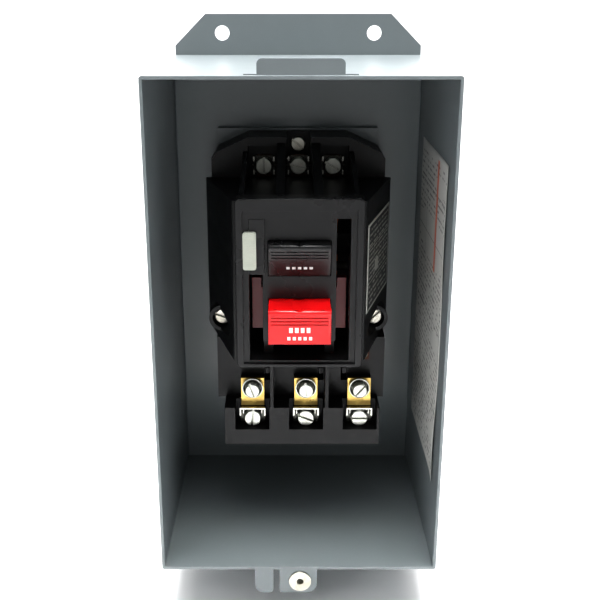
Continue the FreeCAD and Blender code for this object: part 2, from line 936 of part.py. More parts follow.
def carrier():
    """The crossbar that holds the moving contacts, on two guide pins."""
    low, high = "carrier_z - 6", "carrier_z + 6"
    bar = block("carrier_bar", ("-34", "34"), ("19", "35"), (low, high))
    nose = block("carrier_nose", ("-4", "4"), ("34", "44.6"), ("carrier_z + 1", "carrier_z + 9"))
    windows = [
        block(f"carrier_window_{letter}", (f"{x} - 4.3", f"{x} + 4.3"), ("18", "31"), (f"{low} - 1", f"{high} + 1"))
        for letter, x in zip(LETTERS, POLES)
    ]
    bores = [
        rod(f"carrier_bore_{side}", x, "18", "carrier_z", "2 + running_gap", "20")
        for side, x in (("left", "-29.5"), ("right", "29.5"))
    ]
    part("contact_carrier", cut("carrier_moulding", fuse("carrier_blank", bar, nose), *windows, *bores))
    group(
        "carrier_guide_pins",
        [
            rod(f"guide_pin_{side}", x, "base_floor", "carrier_z", "2", "35")
            for side, x in (("left", "-29.5"), ("right", "29.5"))
        ],
    )
    group(
        "carrier_return_springs",
        [
            spring(f"return_spring_{side}", x, "base_floor + 0.5", "carrier_z", "3.1", "0.4", "8.9", 5)
            for side, x in (("left", "-29.5"), ("right", "29.5"))
        ],
    )


def contacts():
    """Fixed tips on the straps, and three sprung bridges that close across them."""
    fixed = []
    tip = "tip_height"
    for letter, x in zip(LETTERS, POLES):
        tips = []
        for end, z in (("high", "contact_high"), ("low", "contact_low")):
            fixed.append(rod(f"fixed_tip_{end}_{letter}", x, "strap_front", z, "3", tip))
            tips.append(rod(f"bridge_tip_{end}_{letter}", x, f"strap_front + {tip}", z, "3", f"{tip} + 0.2"))
        bar = block(
            f"bridge_bar_{letter}",
            (f"{x} - 3.8", f"{x} + 3.8"),
            (f"strap_front + 2 * {tip}", f"strap_front + 2 * {tip} + 1.8"),
            ("contact_low - 4", "contact_high + 4"),
        )
        part(f"moving_contact_{letter}", fuse(f"bridge_{letter}", bar, *tips))
        part(
            f"contact_spring_{letter}",
            spring(f"bridge_spring_{letter}", x, "21.45", "carrier_z", "2.7", "0.4", "9.1", 5),
        )
    group("fixed_contact_tips", fixed)


# ---- Load side: overload block, heater terminals and load terminals --------------------------------------


def pawl_span(letter, x, near, far):
    """The X range of a pawl beside its heater bar; the last one stands on the bar's other side."""
    return (f"{x} - {far}", f"{x} - {near}") if letter == "c" else (f"{x} + {near}", f"{x} + {far}")


def load_block():
    """The lower moulding, with three bays for the thermal units and three load pockets."""
    upper = block("load_upper", ("-44", "47"), ("base_front", "load_floor"), ("load_top - 1", "housing_bottom - 0.3"))
    lower = block("load_lower", ("-39.6", "43.7"), ("base_front", "load_front"), ("load_bottom", "load_top"))
    skirt = block("load_skirt", ("-39.6", "43.7"), ("14", "base_front + 1"), ("load_bottom", "base_bottom - 0.3"))
    walls, pedestals, tools = [], [], []
    for i, x in enumerate(["-14.2", "15.2"]):
        walls.append(
            block(
                f"load_barrier_{i}",
                (f"{x} - 0.9", f"{x} + 0.9"),
                ("load_floor - 1", "load_front"),
                ("load_top - 1", "housing_bottom - 0.3"),
            )
        )
    floor = "bus_front - strap_gauge"
    for letter, x in zip(LETTERS, LOADS):
        pedestals.append(
            block(
                f"pedestal_{letter}",
                (f"{x} - bus_half", f"{x} + bus_half"),
                ("load_floor - 1", floor),
                ("load_top - 1.3", "-43.1"),
            )
        )
        pedestals.append(
            block(
                f"upper_pedestal_{letter}",
                (f"{x} - 5", f"{x} + 5"),
                ("load_floor - 1", floor),
                ("-32", "-24.4"),
            )
        )
        tools.append(
            block(
                f"load_pocket_{letter}",
                (f"{x} - pocket_half", f"{x} + pocket_half"),
                (floor, "load_front + 1"),
                ("pocket_bottom", "load_top + 1"),
            )
        )
        tools.append(
            block(
                f"bus_slot_{letter}",
                (f"{x} - 5.3", f"{x} + 5.3"),
                ("base_front - 1", f"{floor} + 1"),
                ("-24.4", "-21"),
            )
        )
        tools.append(
            block(
                f"pawl_slot_{letter}",
                pawl_span(letter, x, "6.5", "9.7"),
                ("base_front - 1", "load_floor + 1"),
                ("-47", "-33"),
            )
        )
        for name, z in (("upper", "upper_heater_z"), ("heater", "heater_z"), ("load", "load_z")):
            tools.append(rod(f"{name}_thread_{letter}", x, f"{floor} - 8", z, "2.05", "20"))
    tools.append(block("load_well", ("-36", "41"), ("base_front - 1", "34"), ("-50", "-31")))
    part(
        "overload_block",
        cut("load_moulding", fuse("load_blank", upper, lower, skirt, *walls, *pedestals), *tools),
    )


def load_conductors():
    """Copper straps from the contacts to the upper heater screws, and brass bars to the load screws."""
    straps, bars = [], []
    back = "strap_front - strap_gauge"
    plate_back = "bus_front - strap_gauge"
    for letter, pole, x in zip(LETTERS, POLES, LOADS):
        run = (f"{pole} - 4", f"{x} + 5") if letter != "a" else (f"{x} - 5", f"{pole} + 4")
        straps.append(
            cut(
                f"load_strap_{letter}",
                fuse(
                    f"load_strap_blank_{letter}",
                    block(f"strap_riser_{letter}", (f"{pole} - 4", f"{pole} + 4"), (back, "strap_front"), ("-25", "contact_low + 5")),
                    block(f"strap_cross_{letter}", run, (back, "strap_front"), ("-26.2", "-18.5")),
                    block(f"strap_reach_{letter}", (f"{x} - 5", f"{x} + 5"), (back, "bus_front"), ("-24.1", "-22.5")),
                    block(f"strap_plate_{letter}", (f"{x} - 5", f"{x} + 5"), (plate_back, "bus_front"), ("-32", "-22.5")),
                ),
                rod(f"strap_hole_{letter}", x, f"{plate_back} - 1", "upper_heater_z", "2.2", "4"),
            )
        )
        bar = prism(
            f"heater_bar_blank_{letter}",
            "side",
            [
                (minus(plate_back), "-43.1"),
                ("-bus_front", "-43.1"),
                ("-bus_front", "-56.9"),
                (minus("bus_front + 1.5"), "-58.9"),
                (minus("bus_front + 1.5"), "pocket_bottom + 0.2"),
                (minus(plate_back), "pocket_bottom + 0.2"),
            ],
            "2 * bus_half",
            x=f"{x} - bus_half",
        )
        holes = [
            rod(f"{name}_bar_hole_{letter}", x, f"{plate_back} - 1", z, "2.2", "6")
            for name, z in (("heater", "heater_z"), ("load", "load_z"))
        ]
        bars.append(cut(f"heater_bar_{letter}", bar, *holes))
    group("load_straps", straps)
    group("heater_bars", bars)


def cup_washer(name, x, depth, z):
    """A dished washer, open towards the front."""
    cup = rod(name + "_cup", x, depth, z, "4.9", "2.3", end_radius="5.75")
    dish = rod(name + "_dish", x, f"{depth} + 0.8", z, "4.3", "2", end_radius="5.4")
    hole = rod(name + "_hole", x, f"{depth} - 1", z, "2.15", "3")
    return cut(name, cup, dish, hole)


def saddle_clamp(name, x, depth, z):
    """A pressure plate with a lip along its top and a cheek down each side."""
    flat = block(name + "_flat", (f"{x} - 6.9", f"{x} + 6.9"), (depth, f"{depth} + 1"), (f"{z} - 4", f"{z} + 5.6"))
    lip = block(name + "_lip", (f"{x} - 6.9", f"{x} + 6.9"), (depth, f"{depth} + 3.8"), (f"{z} + 5", f"{z} + 5.8"))
    cheeks = []
    for side, (low, high) in (("l", ("-7", "-6.2")), ("r", ("6.2", "7"))):
        cheeks.append(
            block(f"{name}_cheek_{side}", (f"{x} + {low}", f"{x} + {high}"), (depth, f"{depth} + 3.8"), (f"{z} + 1.3", f"{z} + 5.8"))
        )
    for side, (low, high) in (("l", ("-5.2", "-4.8")), ("r", ("4.8", "5.2"))):
        cheeks.append(
            block(f"{name}_web_{side}", (f"{x} + {low}", f"{x} + {high}"), (depth, f"{depth} + 2.6"), (f"{z} + 1.9", f"{z} + 5.2"))
        )
    hole = rod(name + "_hole", x, f"{depth} - 1", z, "2.2", "4")
    return cut(name, fuse(name + "_blank", flat, lip, *cheeks), hole)


def load_fasteners():
    """Heater screws on dished washers, and load screws on saddle clamps."""
    heater_turns = {"a": 70, "b": 83, "c": 130}
    load_turns = {"a": 96, "b": 22, "c": 0}
    washers, heaters, uppers, clamps, loads = [], [], [], [], []
    for letter, x in zip(LETTERS, LOADS):
        washers.append(cup_washer(f"heater_washer_{letter}", x, "bus_front", "heater_z"))
        heaters.append(
            screw(f"heater_screw_{letter}", x, "bus_front + 0.8", "heater_z", "4.05", "head_front - bus_front - 0.8", "2", "9", heater_turns[letter])
        )
        uppers.append(
            screw(f"upper_screw_{letter}", x, "bus_front", "upper_heater_z", "4.05", "3.2", "2", "9", heater_turns[letter] + 50)
        )
        seat = "bus_front + 1.5"
        clamps.append(saddle_clamp(f"load_clamp_{letter}", x, seat, "load_z"))
        loads.append(
            screw(f"load_screw_{letter}", x, f"{seat} + 1", "load_z", "4.6", f"head_front - ({seat} + 1)", "2", "10", load_turns[letter])
        )
    group("heater_washers", washers)
    group("heater_screws", heaters)
    group("upper_heater_screws", uppers)
    group("load_saddle_clamps", clamps)
    group("load_terminal_screws", loads)


def trip_mechanism():
    """The overload trip bar with a pawl for each pole, its two pivots and its spring."""
    bar = rod("trip_rod", "-33", "trip_depth", "trip_z", "trip_radius", "66", "right")
    pawls = []
    for letter, x in zip(LETTERS, LOADS):
        pawls.append(
            block(
                f"pawl_{letter}",
                pawl_span(letter, x, "7", "9.2"),
                ("trip_depth", "55"),
                ("trip_z - 1.6", "trip_z + 1.6"),
            )
        )
    latch = block("trip_latch", ("-9.5", "-6.5"), ("trip_depth - 1.5", "trip_depth + 1.5"), ("trip_z", "0"))
    part("trip_bar", fuse("trip_solid", bar, *pawls, latch))
    seats = []
    for side, x in (("left", ("-36", "-31")), ("right", ("31", "36"))):
        seat = block(f"trip_seat_{side}", x, ("base_floor", "trip_depth + 5"), ("trip_z - 5", "trip_z + 5"))
        bore = rod(
            f"trip_bore_{side}", f"{x[0]} - 1", "trip_depth", "trip_z", "trip_radius + running_gap", "8", "right"
        )
        seats.append(cut(f"trip_bearing_{side}", seat, bore))
    group("trip_bearings", seats)
    part(
        "trip_spring",
        spring("trip_spring_coil", "-8", "base_floor + 0.5", "-8", "2.2", "0.35", "8.6", 6),
    )


# ---- The whole assembly ----------------------------------------------------------------------------------


def write_parts():
    """Recomputes, checks every object and each sub-part's solids, and writes the STEP files."""
    doc.recompute()
    for thing in doc.Objects:
        if {"Invalid", "Error"} & set(thing.State):
            raise RuntimeError(f"{thing.Name} failed: {thing.State}")
    os.makedirs("parts", exist_ok=True)
    for thing in PARTS:
        shape = thing.Shape
        if shape.isNull() or not shape.isValid() or not shape.Solids:
            raise RuntimeError(f"{thing.Label} has no valid solid")
        shape.exportStep(f"parts/{thing.Label}.step")
        print(f"{thing.Label:26s} {len(shape.Solids)} solids, {shape.Volume:10.1f} mm3")
    print(len(PARTS), "sub-parts")


enclosure()
clinch_nut()
wall_label()
mounting_plate()
base()
line_terminals()
base_screw()
housing()
housing_screws()
rating_label()
bezel()
button_guide()
cover_pad()
buttons()
lever()
carrier()
contacts()
load_block()
load_conductors()
load_fasteners()
trip_mechanism()
write_parts()
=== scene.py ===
import math

import bmesh
import bpy
from mathutils import Euler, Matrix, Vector


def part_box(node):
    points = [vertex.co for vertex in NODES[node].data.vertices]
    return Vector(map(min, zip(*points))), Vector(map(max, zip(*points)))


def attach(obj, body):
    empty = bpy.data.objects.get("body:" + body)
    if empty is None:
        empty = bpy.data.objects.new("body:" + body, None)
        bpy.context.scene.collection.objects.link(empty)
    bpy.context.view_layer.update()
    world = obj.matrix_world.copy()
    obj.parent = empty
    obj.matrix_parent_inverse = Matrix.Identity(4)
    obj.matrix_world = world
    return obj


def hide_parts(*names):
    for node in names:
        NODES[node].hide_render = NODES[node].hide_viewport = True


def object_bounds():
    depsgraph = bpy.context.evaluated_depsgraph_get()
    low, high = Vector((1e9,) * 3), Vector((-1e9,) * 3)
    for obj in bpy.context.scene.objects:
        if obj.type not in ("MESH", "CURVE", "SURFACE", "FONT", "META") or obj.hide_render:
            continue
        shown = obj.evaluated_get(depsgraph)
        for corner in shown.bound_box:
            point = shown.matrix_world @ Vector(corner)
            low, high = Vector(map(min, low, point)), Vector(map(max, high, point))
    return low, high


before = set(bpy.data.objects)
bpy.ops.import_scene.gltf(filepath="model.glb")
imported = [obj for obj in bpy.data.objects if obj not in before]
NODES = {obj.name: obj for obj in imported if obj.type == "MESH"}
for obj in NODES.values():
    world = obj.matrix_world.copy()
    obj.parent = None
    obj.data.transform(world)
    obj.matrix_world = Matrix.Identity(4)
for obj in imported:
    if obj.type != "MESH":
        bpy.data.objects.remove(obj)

LOW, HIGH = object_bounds()
MM = 0.001

# Places of the colour sockets on a mix node.
MIX_FACTOR, MIX_A, MIX_B, MIX_RESULT = 0, 6, 7, 2


# ---- Node helpers --------------------------------------------------------------------------------------


class Mat:
    """A principled material whose textures sit in object space, in metres."""

    def __init__(self, name, color, rough, metal=0.0, coat=0.0, coat_rough=0.1, spec=0.5):
        self.m = bpy.data.materials.new(name)
        self.m.use_nodes = True
        self.t = self.m.node_tree
        self.shader = self.t.nodes["Principled BSDF"]
        self.set("Base Color", (*color, 1))
        self.set("Roughness", rough)
        self.set("Metallic", metal)
        self.set("Coat Weight", coat)
        self.set("Coat Roughness", coat_rough)
        self.set("Specular IOR Level", spec)
        self.coords = self.t.nodes.new("ShaderNodeTexCoord").outputs["Object"]
        self.bumps = None

    def set(self, socket, number):
        self.shader.inputs[socket].default_value = number

    def link(self, source, target):
        self.t.links.new(source, target)

    def feed(self, target, v):
        """Links v where it is a socket, and otherwise sets it as the value."""
        if isinstance(v, bpy.types.NodeSocket):
            self.link(v, target)
        else:
            target.default_value = v

    def node(self, kind, **inputs):
        n = self.t.nodes.new(kind)
        for name, v in inputs.items():
            self.feed(n.inputs[name], v)
        return n

    def stretch(self, scale, turn=(0, 0, 0)):
        """Object coordinates scaled, and turned in degrees first."""
        n = self.node("ShaderNodeMapping", Vector=self.coords)
        n.inputs["Scale"].default_value = scale
        n.inputs["Rotation"].default_value = [math.radians(a) for a in turn]
        return n.outputs[0]

    def noise(self, scale, detail=3.0, rough=0.5, where=None, distortion=0.0):
        n = self.node("ShaderNodeTexNoise", Vector=where or self.coords, Scale=scale, Detail=detail)
        n.inputs["Roughness"].default_value = rough
        n.inputs["Distortion"].default_value = distortion
        return n.outputs["Fac"]

    def math(self, how, a, b=0.0, c=0.0):
        n = self.t.nodes.new("ShaderNodeMath")
        n.operation = how
        for i, v in enumerate((a, b, c)):
            self.feed(n.inputs[i], v)
        return n.outputs[0]

    def ramp(self, factor, low, high):
        """0 below low, 1 above high, straight between."""
        n = self.node("ShaderNodeMapRange", Value=factor)
        n.inputs["From Min"].default_value = low
        n.inputs["From Max"].default_value = high
        n.clamp = True
        return n.outputs[0]

    def between(self, factor, low, high):
        """Maps 0..1 to low..high."""
        n = self.node("ShaderNodeMapRange", Value=factor)
        n.inputs["To Min"].default_value = low
        n.inputs["To Max"].default_value = high
        return n.outputs[0]

    def mix(self, factor, a, b):
        """Colour a where factor is 0, and b where it is 1."""
        n = self.t.nodes.new("ShaderNodeMix")
        n.data_type = "RGBA"
        self.feed(n.inputs[MIX_FACTOR], factor)
        for i, v in ((MIX_A, a), (MIX_B, b)):
            self.feed(n.inputs[i], v if isinstance(v, bpy.types.NodeSocket) else (*v, 1))
        return n.outputs[MIX_RESULT]

    def color(self, socket):
        self.link(socket, self.shader.inputs["Base Color"])

    def rough(self, factor, low, high):
        self.link(self.between(factor, low, high), self.shader.inputs["Roughness"])

    def bump(self, height, strength, distance):
        n = self.node("ShaderNodeBump", Height=height, Strength=strength, Distance=distance)
        if self.bumps:
            self.link(self.bumps, n.inputs["Normal"])
        self.bumps = n.outputs[0]
        self.link(self.bumps, self.shader.inputs["Normal"])

    def edges(self, reach):
        """1 on convex edges, 0 on flats, from the angle between the true and the rounded normal."""
        bevel = self.t.nodes.new("ShaderNodeBevel")
        bevel.samples = 4
        bevel.inputs["Radius"].default_value = reach
        geo = self.t.nodes.new("ShaderNodeNewGeometry")
        dot = self.t.nodes.new("ShaderNodeVectorMath")
        dot.operation = "DOT_PRODUCT"
        self.link(bevel.outputs[0], dot.inputs[0])
        self.link(geo.outputs["True Normal"], dot.inputs[1])
        return self.ramp(dot.outputs["Value"], 0.995, 0.85)

    def crevice_shade(self, reach):
        """1 deep in slots and corners, 0 in the open; a mask for painted shade."""
        ao = self.t.nodes.new("ShaderNodeAmbientOcclusion")
        ao.samples = 6
        ao.inputs["Distance"].default_value = reach
        return self.ramp(ao.outputs["AO"], 0.62, 0.25)

    def axes(self):
        n = self.node("ShaderNodeSeparateXYZ", Vector=self.coords)
        return n.outputs[0], n.outputs[1], n.outputs[2]


def srgb(r, g, b):
    """A linear colour from 0 to 255 screen values."""
    return tuple(
        (c / 255 / 12.92) if c / 255 <= 0.04045 else ((c / 255 + 0.055) / 1.055) ** 2.4 for c in (r, g, b)
    )


# ---- Materials -----------------------------------------------------------------------------------------


def enamel(name, tone):
    """Sprayed grey enamel: orange peel, faint cloudiness, dust and rubbed edges."""
    m = Mat(name, tone, 0.32, coat=0.25, coat_rough=0.12)
    cloud = m.noise(22, 4, 0.55)
    fleck = m.noise(1400, 2, 0.6)
    light = tuple(c * 1.10 for c in tone)
    dark = tuple(c * 0.88 for c in tone)
    body = m.mix(cloud, dark, light)
    body = m.mix(m.math("MULTIPLY", m.ramp(fleck, 0.62, 0.78), 0.22), body, tuple(c * 1.5 for c in tone))
    wear = m.math("MULTIPLY", m.edges(0.0007), m.ramp(m.noise(180, 4, 0.7), 0.50, 0.72))
    body = m.mix(m.math("MULTIPLY", wear, 0.45), body, srgb(176, 180, 178))
    m.color(body)
    m.rough(cloud, 0.26, 0.40)
    m.bump(m.noise(520, 2, 0.5), 0.10, 0.0002)
    scratch = m.noise(26, 2, 0.5, m.stretch((1, 1, 45), (12, 8, 0)))
    m.bump(m.ramp(scratch, 0.70, 0.74), 0.05, 0.0001)
    return m.m


def moulding(name, tone, spec):
    """Moulded black resin: mineral speckle, flow clouding and polished edges."""
    m = Mat(name, tone, 0.4, spec=spec)
    flow = m.noise(46, 5, 0.6, m.stretch((1, 1, 2.2)), 0.6)
    speck = m.noise(2100, 2, 0.7)
    body = m.mix(flow, tuple(c * 0.7 for c in tone), tuple(c * 1.35 for c in tone))
    body = m.mix(m.math("MULTIPLY", m.ramp(speck, 0.64, 0.8), 0.35), body, tuple(min(1, c * 3) for c in tone))
    edge = m.math("MULTIPLY", m.edges(0.0005), m.ramp(m.noise(240, 3, 0.6), 0.42, 0.7))
    body = m.mix(m.math("MULTIPLY", edge, 0.35), body, tuple(min(1, c * 4 + 0.01) for c in tone))
    dust = m.ramp(m.noise(90, 6, 0.75), 0.55, 0.9)
    body = m.mix(m.math("MULTIPLY", dust, 0.10), body, srgb(120, 116, 108))
    m.color(body)
    m.rough(flow, 0.30, 0.48)
    m.bump(m.noise(900, 3, 0.6), 0.16, 0.00012)
    return m.m


def plastic(name, tone, rough, spec=0.5, coat=0.15, shade_behind=None):
    """Smooth moulded plastic: slight sink marks, fine grain and hairline handling scratches.

    A depth in mm may be given: what lies behind it is darkened with painted shade."""
    m = Mat(name, tone, 0.25, coat=coat, coat_rough=0.08, spec=spec)
    cloud = m.noise(60, 3, 0.5)
    body = m.mix(cloud, tuple(c * 0.86 for c in tone), tuple(min(1, c * 1.12) for c in tone))
    edge = m.math("MULTIPLY", m.edges(0.0005), m.ramp(m.noise(260, 3, 0.6), 0.40, 0.75))
    body = m.mix(m.math("MULTIPLY", edge, 0.30), body, tuple(min(1, c * 1.6 + 0.02) for c in tone))
    if shade_behind:
        # Painted shade: everything behind the given depth is darkened towards an eighth of the tone.
        recess_shade = m.ramp(m.axes()[1], -shade_behind * MM, -(shade_behind - 2.0) * MM)
        body = m.mix(m.math("MULTIPLY", recess_shade, 0.85), body, tuple(c * 0.12 for c in tone))
    m.color(body)
    m.rough(cloud, *rough)
    hair = m.noise(55, 2, 0.5, m.stretch((40, 1, 1.5), (0, 14, 0)))
    m.bump(m.ramp(hair, 0.70, 0.74), 0.02, 0.00004)
    m.bump(m.noise(1500, 2, 0.5), 0.05, 0.00006)
    return m.m


def metal(name, tone, rough, stain, stain_amount, shade_behind=None):
    """Plated or bare metal: drawing lines, cloudy stain, a painted highlight on the edges and painted shade
    in crevices.

    A depth in mm may be given: what lies behind it is painted nearly black, as painted shade of the recesses."""
    m = Mat(name, tone, 0.25, metal=1.0)
    cloud = m.noise(150, 5, 0.62, distortion=0.8)
    fine = m.noise(160, 3, 0.6, m.stretch((1, 14, 26)))
    body = m.mix(m.math("MULTIPLY", m.ramp(cloud, 0.42, 0.68), stain_amount), tone, stain)
    # Painted highlight: all convex edges are painted lighter.
    body = m.mix(m.math("MULTIPLY", m.edges(0.0003), 0.5), body, tuple(min(1, c * 1.25) for c in tone))
    # Painted shade: slots and corners are painted dark.
    body = m.mix(m.math("MULTIPLY", m.crevice_shade(0.0014), 0.85), body, tuple(c * 0.10 for c in stain))
    if shade_behind:
        # Painted shade: everything behind the given depth, with a slightly ragged border, is painted nearly
        # black.
        depth = m.math("ADD", m.axes()[1], m.math("MULTIPLY", m.noise(900, 2, 0.5), 0.0006))
        recess_shade = m.ramp(depth, -shade_behind * MM, -(shade_behind - 0.5) * MM)
        body = m.mix(m.math("MULTIPLY", recess_shade, 0.93), body, tuple(c * 0.06 for c in stain))
    m.color(body)
    m.rough(m.math("ADD", m.math("MULTIPLY", cloud, 0.6), m.math("MULTIPLY", fine, 0.4)), *rough)
    m.bump(fine, 0.12, 0.00008)
    m.bump(m.noise(700, 3, 0.6), 0.08, 0.00005)
    return m.m


def print_mask(m, across, up, row_pitch, fill, seed, word=260.0, cut=0.47):
    """1 inside rows of broken bars that stand for small print."""
    row = m.math("FLOOR", m.math("DIVIDE", up, row_pitch))
    within = m.math("FRACT", m.math("DIVIDE", up, row_pitch))
    bar = m.math("LESS_THAN", m.math("ABSOLUTE", m.math("SUBTRACT", within, 0.5)), fill / 2)
    place = m.t.nodes.new("ShaderNodeCombineXYZ")
    m.link(m.math("MULTIPLY", across, word), place.inputs[0])
    m.link(m.math("MULTIPLY", row, 7.31 + seed), place.inputs[1])
    place.inputs[2].default_value = seed
    n = m.node("ShaderNodeTexNoise", Vector=place.outputs[0], Scale=1.0, Detail=1.0)
    return m.math("MULTIPLY", bar, m.math("GREATER_THAN", n.outputs["Fac"], cut))


def window(m, value, low, high):
    """1 where value lies between low and high."""
    return m.math("MULTIPLY", m.math("GREATER_THAN", value, low), m.math("LESS_THAN", value, high))


def both(m, a, b):
    """1 where both masks are 1."""
    return m.math("MULTIPLY", a, b)


def paper_label():
    """A printed wiring chart: rules, blocks of small print, an orange strip and scuffed corners."""
    m = Mat("printed_paper", srgb(186, 186, 182), 0.55)
    _, y, z = m.axes()
    mottle = m.noise(120, 5, 0.6)
    paper = m.mix(mottle, srgb(176, 176, 172), srgb(204, 204, 200))
    ink = srgb(74, 75, 76)
    text = print_mask(m, y, z, 0.0031, 0.36, 3.0, 320.0, 0.50)
    blocks = m.math("GREATER_THAN", m.noise(16, 1, 0.4, m.stretch((1, 0.7, 2.6))), 0.44)
    margin = both(m, window(m, y, -0.0975, -0.0190), window(m, z, -0.0775, 0.0785))
    drawn = both(m, both(m, text, blocks), margin)
    out = m.mix(m.math("MULTIPLY", drawn, 0.75), paper, ink)
    for at in (0.061, 0.036, -0.004, -0.046):
        rule = both(m, window(m, z, at, at + 0.00045), window(m, y, -0.0965, -0.0195))
        out = m.mix(m.math("MULTIPLY", rule, 0.8), out, ink)
    for at in (-0.0965, -0.0740, -0.0420, -0.0200):
        rule = both(m, window(m, y, at, at + 0.0004), window(m, z, -0.046, 0.061))
        out = m.mix(m.math("MULTIPLY", rule, 0.8), out, ink)
    stripe = both(m, window(m, y, -0.0735, -0.0690), window(m, z, 0.022, 0.0790))
    out = m.mix(m.math("MULTIPLY", stripe, 0.85), out, srgb(206, 84, 42))
    scuff = m.ramp(m.noise(300, 5, 0.7), 0.60, 0.74)
    out = m.mix(m.math("MULTIPLY", scuff, 0.35), out, srgb(214, 213, 208))
    m.color(out)
    m.rough(mottle, 0.42, 0.62)
    m.bump(m.noise(800, 4, 0.6), 0.12, 0.00008)
    return m.m


def foil_label():
    """A printed foil plate: black field, silver border, ruled boxes and rows of small print."""
    m = Mat("printed_foil", srgb(178, 178, 172), 0.3, metal=0.15)
    _, y, z = m.axes()
    grain = m.noise(240, 3, 0.6, m.stretch((1, 1, 18)))
    silver = m.mix(grain, srgb(196, 196, 190), srgb(232, 232, 226))
    black = srgb(26, 26, 27)
    inside = both(m, window(m, y, -0.0808, -0.0344), window(m, z, 0.0046, 0.0480))
    out = m.mix(inside, silver, black)
    # Each block of print: its lowest and highest z, its row pitch and its seed.
    blocks = (
        (0.0372, 0.0464, 0.0026, 2.0),
        (0.0188, 0.0352, 0.0024, 5.0),
        (0.0060, 0.0168, 0.0029, 9.0),
    )
    for low, high, pitch, seed in blocks:
        text = print_mask(m, y, z, pitch, 0.42, seed, 420.0, 0.46)
        zone = both(m, window(m, z, low, high), window(m, y, -0.0792, -0.0360))
        out = m.mix(m.math("MULTIPLY", both(m, text, zone), 0.85), out, silver)
    for at in (0.0362, 0.0178):
        rule = both(m, window(m, z, at, at + 0.0005), window(m, y, -0.0808, -0.0344))
        out = m.mix(rule, out, silver)
    for at in (-0.0690, -0.0560, -0.0450):
        rule = both(m, window(m, y, at, at + 0.0004), window(m, z, 0.0178, 0.0362))
        out = m.mix(rule, out, silver)
    blank = both(m, window(m, y, -0.0665, -0.0580), window(m, z, 0.0205, 0.0270))
    out = m.mix(blank, out, silver)
    m.color(out)
    m.rough(grain, 0.22, 0.42)
    m.bump(m.noise(600, 3, 0.6), 0.05, 0.00006)
    return m.m


def pad_felt():
    """A pale fibrous pad."""
    m = Mat("pale_pad", srgb(182, 188, 174), 0.85)
    fibre = m.noise(900, 4, 0.7, m.stretch((1, 1, 3.5)), 1.5)
    body = m.mix(fibre, srgb(158, 165, 150), srgb(206, 210, 198))
    m.color(body)
    m.rough(fibre, 0.75, 0.95)
    m.bump(fibre, 0.5, 0.00025)
    m.set("Sheen Weight", 0.3)
    return m.m


BRIGHT, BRIGHT_STAIN, BRIGHT_ROUGH = srgb(222, 222, 214), srgb(150, 150, 140), (0.16, 0.34)

M = {
    "enamel": enamel("grey_enamel", srgb(114, 121, 123)),
    "resin": moulding("black_resin", (0.009, 0.009, 0.0095), spec=0.3),
    "gloss": plastic("black_gloss", (0.011, 0.011, 0.0115), (0.22, 0.36), spec=0.35, coat=0.0),
    # The red moulding gets painted shade behind 82 mm depth.
    "red": plastic("red_moulding", srgb(218, 12, 18), (0.24, 0.38), shade_behind=82),
    "zinc": metal("zinc_plate", srgb(206, 204, 194), (0.20, 0.42), srgb(150, 142, 118), 0.5),
    "steel": metal("bright_steel", srgb(214, 216, 207), (0.26, 0.46), srgb(150, 150, 136), 0.4),
    # The clamps and the plates get painted shade behind their given depths.
    "clamp": metal("load_clamps", BRIGHT, BRIGHT_ROUGH, BRIGHT_STAIN, 0.3, shade_behind=61.2),
    "plate": metal("line_plates", BRIGHT, BRIGHT_ROUGH, BRIGHT_STAIN, 0.3, shade_behind=27.4),
    "old_copper": metal("dull_copper", srgb(84, 54, 42), (0.40, 0.62), srgb(44, 34, 30), 0.7),
    "copper": metal("copper_strip", srgb(200, 128, 92), (0.24, 0.44), srgb(122, 74, 52), 0.55),
    "brass": metal("brass_strip", srgb(214, 184, 110), (0.20, 0.40), srgb(150, 118, 62), 0.45),
    "silver": metal("silver_alloy", srgb(226, 226, 222), (0.24, 0.42), srgb(150, 148, 144), 0.4),
    "paper": paper_label(),
    "foil": foil_label(),
    "pad": pad_felt(),
    "ink": plastic("white_ink", srgb(232, 232, 228), (0.4, 0.55)),
}

LOOKS = {
    "enamel": "enclosure_back_and_sides enclosure_top enclosure_bottom mounting_plate",
    "resin": "base housing overload_block operating_lever contact_carrier trip_bar trip_bearings",
    "gloss": "bezel button_guide start_button",
    "red": "stop_button",
    "zinc": "cover_clinch_nut base_screw housing_screws lever_pin carrier_guide_pins",
    "steel": "line_terminal_screws heater_washers heater_screws upper_heater_screws"
    " load_terminal_screws carrier_return_springs contact_spring_a"
    " contact_spring_b contact_spring_c trip_spring",
    "clamp": "load_saddle_clamps",
    "plate": "line_pressure_plates",
    "old_copper": "line_straps load_straps",
    "copper": "moving_contact_a moving_contact_b moving_contact_c",
    "brass": "heater_bars",
    "silver": "fixed_contact_tips",
    "paper": "wiring_label",
    "foil": "rating_label",
    "pad": "cover_pad",
}

SOFT_EDGE = {
    "enamel": 0.22,
    "resin": 0.35,
    "gloss": 0.30,
    "red": 0.35,
    "zinc": 0.12,
    "steel": 0.12,
    "clamp": 0.1,
    "plate": 0.1,
    "old_copper": 0.12,
    "copper": 0.12,
    "brass": 0.15,
    "silver": 0.1,
    "paper": 0.0,
    "foil": 0.0,
    "pad": 0.3,
}


def soften(obj, width):
    """Welds the split vertices and rounds the edges a little."""
    weld = obj.modifiers.new("weld", "WELD")
    weld.merge_threshold = 0.000004
    if width:
        bevel = obj.modifiers.new("soft", "BEVEL")
        bevel.width = width * MM
        bevel.segments = 2
        bevel.limit_method = "ANGLE"
        bevel.angle_limit = math.radians(32)
        bevel.use_clamp_overlap = True
        bevel.harden_normals = True


for look, names in LOOKS.items():
    for name in names.split():
        node = NODES[name]
        node.data.materials.clear()
        node.data.materials.append(M[look])
        if "spring" not in name:
            soften(node, SOFT_EDGE[look])

